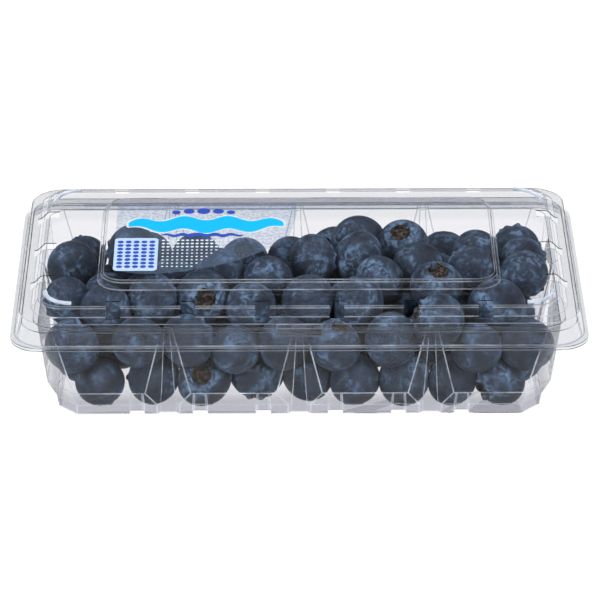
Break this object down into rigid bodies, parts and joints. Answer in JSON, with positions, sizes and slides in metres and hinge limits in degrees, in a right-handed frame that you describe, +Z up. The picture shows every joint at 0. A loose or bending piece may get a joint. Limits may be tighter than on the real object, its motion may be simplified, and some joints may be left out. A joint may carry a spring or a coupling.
{
  "type": "punnet of blueberries",
  "caption": "Shut clear plastic punnet with a hinged, slotted lid and a film label, filled with a heap of blueberries.",
  "frame": {"origin": "under the middle of the whole pack, on the surface that it stands on", "axes": "+X along the long side to the viewer's right, +Y from the snap button to the hinge, +Z up"},
  "size_m": [0.19, 0.11, 0.0466],
  "materials": {
    "clear_sheet": "clear glossy thermoformed plastic sheet",
    "label_film": "clear printed film, satin",
    "berry_skin": "dusky skin with a pale bloom"
  },
  "bodies": {
    "base": {"tray": "clear_sheet", "hinge": "clear_sheet", "blueberries": "berry_skin"},
    "lid": {"lid": "clear_sheet", "label": "label_film"}
  },
  "joints": [
    {"name": "lid_hinge", "type": "hinge", "parent": "base", "child": "lid", "pos_m": [0, 0.05457, 0.03195], "axis": [-1, 0, 0], "range_deg": [0, 180]}
  ]
}
